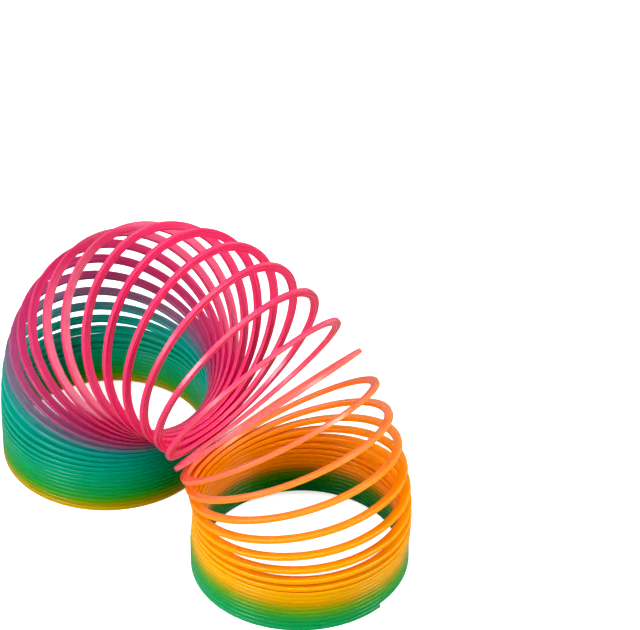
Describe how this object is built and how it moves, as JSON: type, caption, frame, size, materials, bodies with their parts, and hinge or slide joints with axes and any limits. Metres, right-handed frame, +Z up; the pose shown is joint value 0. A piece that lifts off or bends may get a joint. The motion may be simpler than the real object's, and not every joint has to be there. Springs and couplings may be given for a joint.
{
  "type": "spring coil toy",
  "caption": "Rainbow plastic coil spring toy bent over in an arch, its flat strand closed into a stack at each foot and fanned open over the top.",
  "frame": {"origin": "on the floor under the middle of the arch's length", "axes": "+X from the left foot to the right foot, +Y across the coil away from the front, +Z up"},
  "size_m": [0.169, 0.075, 0.1074],
  "materials": {
    "left_stack_turn_01": "semi-gloss moulded, slightly translucent",
    "left_stack_turn_02": "semi-gloss moulded, slightly translucent",
    "left_stack_turn_03": "semi-gloss moulded, slightly translucent",
    "left_stack_turn_04": "semi-gloss moulded, slightly translucent",
    "left_stack_turn_05": "semi-gloss moulded, slightly translucent",
    "left_stack_turn_06": "semi-gloss moulded, slightly translucent",
    "left_stack_turn_07": "semi-gloss moulded, slightly translucent",
    "left_stack_turn_08": "semi-gloss moulded, slightly translucent",
    "left_stack_turn_09": "semi-gloss moulded, slightly translucent",
    "arch_turn_01": "semi-gloss moulded, slightly translucent",
    "arch_turn_02": "semi-gloss moulded, slightly translucent",
    "arch_turn_03": "semi-gloss moulded, slightly translucent",
    "arch_turn_04": "semi-gloss moulded, slightly translucent",
    "arch_turn_05": "semi-gloss moulded, slightly translucent",
    "arch_turn_06": "semi-gloss moulded, slightly translucent",
    "arch_turn_07": "semi-gloss moulded, slightly translucent",
    "arch_turn_08": "semi-gloss moulded, slightly translucent",
    "arch_turn_09": "semi-gloss moulded, slightly translucent",
    "arch_turn_10": "semi-gloss moulded, slightly translucent",
    "arch_turn_11": "semi-gloss moulded, slightly translucent",
    "arch_turn_12": "semi-gloss moulded, slightly translucent",
    "arch_turn_13": "semi-gloss moulded, slightly translucent",
    "arch_turn_14": "semi-gloss moulded, slightly translucent",
    "arch_turn_15": "semi-gloss moulded, slightly translucent",
    "arch_turn_16": "semi-gloss moulded, slightly translucent",
    "arch_turn_17": "semi-gloss moulded, slightly translucent",
    "arch_turn_18": "semi-gloss moulded, slightly translucent",
    "arch_turn_19": "semi-gloss moulded, slightly translucent",
    "arch_turn_20": "semi-gloss moulded, slightly translucent",
    "arch_turn_21": "semi-gloss moulded, slightly translucent",
    "arch_turn_22": "semi-gloss moulded, slightly translucent",
    "arch_turn_23": "semi-gloss moulded, slightly translucent",
    "arch_turn_24": "semi-gloss moulded, slightly translucent",
    "arch_turn_25": "semi-gloss moulded, slightly translucent",
    "arch_turn_26": "semi-gloss moulded, slightly translucent",
    "arch_turn_27": "semi-gloss moulded, slightly translucent",
    "right_stack_turn_01": "semi-gloss moulded, slightly translucent",
    "right_stack_turn_02": "semi-gloss moulded, slightly translucent",
    "right_stack_turn_03": "semi-gloss moulded, slightly translucent",
    "right_stack_turn_04": "semi-gloss moulded, slightly translucent",
    "right_stack_turn_05": "semi-gloss moulded, slightly translucent",
    "right_stack_turn_06": "semi-gloss moulded, slightly translucent",
    "right_stack_turn_07": "semi-gloss moulded, slightly translucent",
    "right_stack_turn_08": "semi-gloss moulded, slightly translucent",
    "right_stack_turn_09": "semi-gloss moulded, slightly translucent"
  },
  "bodies": {
    "left_stack_turn_01": {"left_stack_turn_01": "left_stack_turn_01"},
    "left_stack_turn_02": {"left_stack_turn_02": "left_stack_turn_02"},
    "left_stack_turn_03": {"left_stack_turn_03": "left_stack_turn_03"},
    "left_stack_turn_04": {"left_stack_turn_04": "left_stack_turn_04"},
    "left_stack_turn_05": {"left_stack_turn_05": "left_stack_turn_05"},
    "left_stack_turn_06": {"left_stack_turn_06": "left_stack_turn_06"},
    "left_stack_turn_07": {"left_stack_turn_07": "left_stack_turn_07"},
    "left_stack_turn_08": {"left_stack_turn_08": "left_stack_turn_08"},
    "left_stack_turn_09": {"left_stack_turn_09": "left_stack_turn_09"},
    "arch_turn_01": {"arch_turn_01": "arch_turn_01"},
    "arch_turn_02": {"arch_turn_02": "arch_turn_02"},
    "arch_turn_03": {"arch_turn_03": "arch_turn_03"},
    "arch_turn_04": {"arch_turn_04": "arch_turn_04"},
    "arch_turn_05": {"arch_turn_05": "arch_turn_05"},
    "arch_turn_06": {"arch_turn_06": "arch_turn_06"},
    "arch_turn_07": {"arch_turn_07": "arch_turn_07"},
    "arch_turn_08": {"arch_turn_08": "arch_turn_08"},
    "arch_turn_09": {"arch_turn_09": "arch_turn_09"},
    "arch_turn_10": {"arch_turn_10": "arch_turn_10"},
    "arch_turn_11": {"arch_turn_11": "arch_turn_11"},
    "arch_turn_12": {"arch_turn_12": "arch_turn_12"},
    "arch_turn_13": {"arch_turn_13": "arch_turn_13"},
    "arch_turn_14": {"arch_turn_14": "arch_turn_14"},
    "arch_turn_15": {"arch_turn_15": "arch_turn_15"},
    "arch_turn_16": {"arch_turn_16": "arch_turn_16"},
    "arch_turn_17": {"arch_turn_17": "arch_turn_17"},
    "arch_turn_18": {"arch_turn_18": "arch_turn_18"},
    "arch_turn_19": {"arch_turn_19": "arch_turn_19"},
    "arch_turn_20": {"arch_turn_20": "arch_turn_20"},
    "arch_turn_21": {"arch_turn_21": "arch_turn_21"},
    "arch_turn_22": {"arch_turn_22": "arch_turn_22"},
    "arch_turn_23": {"arch_turn_23": "arch_turn_23"},
    "arch_turn_24": {"arch_turn_24": "arch_turn_24"},
    "arch_turn_25": {"arch_turn_25": "arch_turn_25"},
    "arch_turn_26": {"arch_turn_26": "arch_turn_26"},
    "arch_turn_27": {"arch_turn_27": "arch_turn_27"},
    "right_stack_turn_01": {"right_stack_turn_01": "right_stack_turn_01"},
    "right_stack_turn_02": {"right_stack_turn_02": "right_stack_turn_02"},
    "right_stack_turn_03": {"right_stack_turn_03": "right_stack_turn_03"},
    "right_stack_turn_04": {"right_stack_turn_04": "right_stack_turn_04"},
    "right_stack_turn_05": {"right_stack_turn_05": "right_stack_turn_05"},
    "right_stack_turn_06": {"right_stack_turn_06": "right_stack_turn_06"},
    "right_stack_turn_07": {"right_stack_turn_07": "right_stack_turn_07"},
    "right_stack_turn_08": {"right_stack_turn_08": "right_stack_turn_08"},
    "right_stack_turn_09": {"right_stack_turn_09": "right_stack_turn_09"}
  },
  "joints": [
    {"name": "crown_lift", "type": "slide", "parent": "left_stack_turn_01", "child": "left_stack_turn_02", "axis": [0, 0, 1], "range_m": [0, 0.0025]},
    {"name": "left_stack_turn_03_lift", "type": "slide", "parent": "left_stack_turn_02", "child": "left_stack_turn_03", "axis": [0, 0, 1], "range_m": [0, 0.0025]},
    {"name": "left_stack_turn_04_lift", "type": "slide", "parent": "left_stack_turn_03", "child": "left_stack_turn_04", "axis": [0, 0, 1], "range_m": [0, 0.0025]},
    {"name": "left_stack_turn_05_lift", "type": "slide", "parent": "left_stack_turn_04", "child": "left_stack_turn_05", "axis": [0, 0, 1], "range_m": [0, 0.0025]},
    {"name": "left_stack_turn_06_lift", "type": "slide", "parent": "left_stack_turn_05", "child": "left_stack_turn_06", "axis": [0, 0, 1], "range_m": [0, 0.0025]},
    {"name": "left_stack_turn_07_lift", "type": "slide", "parent": "left_stack_turn_06", "child": "left_stack_turn_07", "axis": [0, 0, 1], "range_m": [0, 0.0025]},
    {"name": "left_stack_turn_08_lift", "type": "slide", "parent": "left_stack_turn_07", "child": "left_stack_turn_08", "axis": [0, 0, 1], "range_m": [0, 0.0025]},
    {"name": "left_stack_turn_09_lift", "type": "slide", "parent": "left_stack_turn_08", "child": "left_stack_turn_09", "axis": [0, 0, 1], "range_m": [0, 0.0025]},
    {"name": "arch_turn_01_fan", "type": "hinge", "parent": "left_stack_turn_09", "child": "arch_turn_01", "pos_m": [-0.01099, 0, 0.01538], "axis": [0, 1, 0], "range_deg": [-0.45984, 0]},
    {"name": "arch_turn_02_fan", "type": "hinge", "parent": "arch_turn_01", "child": "arch_turn_02", "pos_m": [-0.01098, 0, 0.01711], "axis": [0, 1, 0], "range_deg": [-1.1, 0]},
    {"name": "arch_turn_03_fan", "type": "hinge", "parent": "arch_turn_02", "child": "arch_turn_03", "pos_m": [-0.01093, 0, 0.01886], "axis": [0, 1, 0], "range_deg": [-1.95, 0]},
    {"name": "arch_turn_04_fan", "type": "hinge", "parent": "arch_turn_03", "child": "arch_turn_04", "pos_m": [-0.01082, 0, 0.02062], "axis": [0, 1, 0], "range_deg": [-2.97, 0]},
    {"name": "arch_turn_05_fan", "type": "hinge", "parent": "arch_turn_04", "child": "arch_turn_05", "pos_m": [-0.01062, 0, 0.02239], "axis": [0, 1, 0], "range_deg": [-4.09, 0]},
    {"name": "arch_turn_06_fan", "type": "hinge", "parent": "arch_turn_05", "child": "arch_turn_06", "pos_m": [-0.01029, 0, 0.02415], "axis": [0, 1, 0], "range_deg": [-5.26, 0]},
    {"name": "arch_turn_07_fan", "type": "hinge", "parent": "arch_turn_06", "child": "arch_turn_07", "pos_m": [-0.0098, 0, 0.02589], "axis": [0, 1, 0], "range_deg": [-6.44, 0]},
    {"name": "arch_turn_08_fan", "type": "hinge", "parent": "arch_turn_07", "child": "arch_turn_08", "pos_m": [-0.00911, 0, 0.02758], "axis": [0, 1, 0], "range_deg": [-7.57, 0]},
    {"name": "arch_turn_09_fan", "type": "hinge", "parent": "arch_turn_08", "child": "arch_turn_09", "pos_m": [-0.00819, 0, 0.02918], "axis": [0, 1, 0], "range_deg": [-8.59, 0]},
    {"name": "arch_turn_10_fan", "type": "hinge", "parent": "arch_turn_09", "child": "arch_turn_10", "pos_m": [-0.00704, 0, 0.03063], "axis": [0, 1, 0], "range_deg": [-9.47, 0]},
    {"name": "arch_turn_11_fan", "type": "hinge", "parent": "arch_turn_10", "child": "arch_turn_11", "pos_m": [-0.00566, 0, 0.03188], "axis": [0, 1, 0], "range_deg": [-10.14, 0]},
    {"name": "arch_turn_12_fan", "type": "hinge", "parent": "arch_turn_11", "child": "arch_turn_12", "pos_m": [-0.00407, 0, 0.03287], "axis": [0, 1, 0], "range_deg": [-10.55, 0]},
    {"name": "arch_fold", "type": "hinge", "parent": "arch_turn_12", "child": "arch_turn_13", "pos_m": [-0.00233, 0, 0.03355], "axis": [0, 1, 0], "range_deg": [-10.66, 0]},
    {"name": "arch_turn_14_fan", "type": "hinge", "parent": "arch_turn_13", "child": "arch_turn_14", "pos_m": [-0.00049, 0, 0.0339], "axis": [0, 1, 0], "range_deg": [-10.66, 0]},
    {"name": "arch_turn_15_fan", "type": "hinge", "parent": "arch_turn_14", "child": "arch_turn_15", "pos_m": [0.00138, 0, 0.0339], "axis": [0, 1, 0], "range_deg": [-10.66, 0]},
    {"name": "arch_turn_16_fan", "type": "hinge", "parent": "arch_turn_15", "child": "arch_turn_16", "pos_m": [0.00321, 0, 0.03356], "axis": [0, 1, 0], "range_deg": [-10.66, 0]},
    {"name": "arch_turn_17_fan", "type": "hinge", "parent": "arch_turn_16", "child": "arch_turn_17", "pos_m": [0.00496, 0, 0.03288], "axis": [0, 1, 0], "range_deg": [-10.66, 0]},
    {"name": "arch_turn_18_fan", "type": "hinge", "parent": "arch_turn_17", "child": "arch_turn_18", "pos_m": [0.00654, 0, 0.0319], "axis": [0, 1, 0], "range_deg": [-10.55, 0]},
    {"name": "arch_turn_19_fan", "type": "hinge", "parent": "arch_turn_18", "child": "arch_turn_19", "pos_m": [0.00792, 0, 0.03064], "axis": [0, 1, 0], "range_deg": [-10.02, 0]},
    {"name": "arch_turn_20_fan", "type": "hinge", "parent": "arch_turn_19", "child": "arch_turn_20", "pos_m": [0.00904, 0, 0.02917], "axis": [0, 1, 0], "range_deg": [-9.14, 0]},
    {"name": "arch_turn_21_fan", "type": "hinge", "parent": "arch_turn_20", "child": "arch_turn_21", "pos_m": [0.00992, 0, 0.02756], "axis": [0, 1, 0], "range_deg": [-7.99, 0]},
    {"name": "arch_turn_22_fan", "type": "hinge", "parent": "arch_turn_21", "child": "arch_turn_22", "pos_m": [0.01055, 0, 0.02586], "axis": [0, 1, 0], "range_deg": [-6.67, 0]},
    {"name": "arch_turn_23_fan", "type": "hinge", "parent": "arch_turn_22", "child": "arch_turn_23", "pos_m": [0.01098, 0, 0.02412], "axis": [0, 1, 0], "range_deg": [-5.27, 0]},
    {"name": "arch_turn_24_fan", "type": "hinge", "parent": "arch_turn_23", "child": "arch_turn_24", "pos_m": [0.01104, 0, 0.02233], "axis": [0, 1, 0], "range_deg": [-3.87, 0]},
    {"name": "arch_turn_25_fan", "type": "hinge", "parent": "arch_turn_24", "child": "arch_turn_25", "pos_m": [0.01098, 0, 0.02057], "axis": [0, 1, 0], "range_deg": [-2.57, 0]},
    {"name": "arch_turn_26_fan", "type": "hinge", "parent": "arch_turn_25", "child": "arch_turn_26", "pos_m": [0.01084, 0, 0.01882], "axis": [0, 1, 0], "range_deg": [-1.44, 0]},
    {"name": "arch_turn_27_fan", "type": "hinge", "parent": "arch_turn_26", "child": "arch_turn_27", "pos_m": [0.01066, 0, 0.01709], "axis": [0, 1, 0], "range_deg": [-0.58702, 0]},
    {"name": "right_stack_turn_01_drop", "type": "slide", "parent": "arch_turn_27", "child": "right_stack_turn_01", "axis": [0, 0, -1], "range_m": [0, 0.00222]},
    {"name": "right_stack_turn_02_drop", "type": "slide", "parent": "right_stack_turn_01", "child": "right_stack_turn_02", "axis": [0, 0, -1], "range_m": [0, 0.00222]},
    {"name": "right_stack_turn_03_drop", "type": "slide", "parent": "right_stack_turn_02", "child": "right_stack_turn_03", "axis": [0, 0, -1], "range_m": [0, 0.00222]},
    {"name": "right_stack_turn_04_drop", "type": "slide", "parent": "right_stack_turn_03", "child": "right_stack_turn_04", "axis": [0, 0, -1], "range_m": [0, 0.00222]},
    {"name": "right_stack_turn_05_drop", "type": "slide", "parent": "right_stack_turn_04", "child": "right_stack_turn_05", "axis": [0, 0, -1], "range_m": [0, 0.00222]},
    {"name": "right_stack_turn_06_drop", "type": "slide", "parent": "right_stack_turn_05", "child": "right_stack_turn_06", "axis": [0, 0, -1], "range_m": [0, 0.00222]},
    {"name": "right_stack_turn_07_drop", "type": "slide", "parent": "right_stack_turn_06", "child": "right_stack_turn_07", "axis": [0, 0, -1], "range_m": [0, 0.00222]},
    {"name": "right_stack_turn_08_drop", "type": "slide", "parent": "right_stack_turn_07", "child": "right_stack_turn_08", "axis": [0, 0, -1], "range_m": [0, 0.00222]},
    {"name": "right_stack_turn_09_drop", "type": "slide", "parent": "right_stack_turn_08", "child": "right_stack_turn_09", "axis": [0, 0, -1], "range_m": [0, 0.00222]}
  ],
  "couplings": [
    {"joint": "left_stack_turn_03_lift", "follows": "crown_lift", "ratio": 1},
    {"joint": "left_stack_turn_04_lift", "follows": "crown_lift", "ratio": 1},
    {"joint": "left_stack_turn_05_lift", "follows": "crown_lift", "ratio": 1},
    {"joint": "left_stack_turn_06_lift", "follows": "crown_lift", "ratio": 1},
    {"joint": "left_stack_turn_07_lift", "follows": "crown_lift", "ratio": 1},
    {"joint": "left_stack_turn_08_lift", "follows": "crown_lift", "ratio": 1},
    {"joint": "left_stack_turn_09_lift", "follows": "crown_lift", "ratio": 1},
    {"joint": "arch_turn_01_fan", "follows": "arch_fold", "ratio": 0.043131},
    {"joint": "arch_turn_02_fan", "follows": "arch_fold", "ratio": 0.10335},
    {"joint": "arch_turn_03_fan", "follows": "arch_fold", "ratio": 0.18336},
    {"joint": "arch_turn_04_fan", "follows": "arch_fold", "ratio": 0.2783},
    {"joint": "arch_turn_05_fan", "follows": "arch_fold", "ratio": 0.38328},
    {"joint": "arch_turn_06_fan", "follows": "arch_fold", "ratio": 0.49343},
    {"joint": "arch_turn_07_fan", "follows": "arch_fold", "ratio": 0.60386},
    {"joint": "arch_turn_08_fan", "follows": "arch_fold", "ratio": 0.70971},
    {"joint": "arch_turn_09_fan", "follows": "arch_fold", "ratio": 0.80608},
    {"joint": "arch_turn_10_fan", "follows": "arch_fold", "ratio": 0.88812},
    {"joint": "arch_turn_11_fan", "follows": "arch_fold", "ratio": 0.95093},
    {"joint": "arch_turn_12_fan", "follows": "arch_fold", "ratio": 0.98965},
    {"joint": "arch_turn_14_fan", "follows": "arch_fold", "ratio": 1},
    {"joint": "arch_turn_15_fan", "follows": "arch_fold", "ratio": 1},
    {"joint": "arch_turn_16_fan", "follows": "arch_fold", "ratio": 1},
    {"joint": "arch_turn_17_fan", "follows": "arch_fold", "ratio": 1},
    {"joint": "arch_turn_18_fan", "follows": "arch_fold", "ratio": 0.98924},
    {"joint": "arch_turn_19_fan", "follows": "arch_fold", "ratio": 0.93953},
    {"joint": "arch_turn_20_fan", "follows": "arch_fold", "ratio": 0.85689},
    {"joint": "arch_turn_21_fan", "follows": "arch_fold", "ratio": 0.74964},
    {"joint": "arch_turn_22_fan", "follows": "arch_fold", "ratio": 0.6261},
    {"joint": "arch_turn_23_fan", "follows": "arch_fold", "ratio": 0.49458},
    {"joint": "arch_turn_24_fan", "follows": "arch_fold", "ratio": 0.3634},
    {"joint": "arch_turn_25_fan", "follows": "arch_fold", "ratio": 0.24088},
    {"joint": "arch_turn_26_fan", "follows": "arch_fold", "ratio": 0.13532},
    {"joint": "arch_turn_27_fan", "follows": "arch_fold", "ratio": 0.055062},
    {"joint": "right_stack_turn_01_drop", "follows": "crown_lift", "ratio": 0.88889},
    {"joint": "right_stack_turn_02_drop", "follows": "crown_lift", "ratio": 0.88889},
    {"joint": "right_stack_turn_03_drop", "follows": "crown_lift", "ratio": 0.88889},
    {"joint": "right_stack_turn_04_drop", "follows": "crown_lift", "ratio": 0.88889},
    {"joint": "right_stack_turn_05_drop", "follows": "crown_lift", "ratio": 0.88889},
    {"joint": "right_stack_turn_06_drop", "follows": "crown_lift", "ratio": 0.88889},
    {"joint": "right_stack_turn_07_drop", "follows": "crown_lift", "ratio": 0.88889},
    {"joint": "right_stack_turn_08_drop", "follows": "crown_lift", "ratio": 0.88889},
    {"joint": "right_stack_turn_09_drop", "follows": "crown_lift", "ratio": 0.88889}
  ]
}
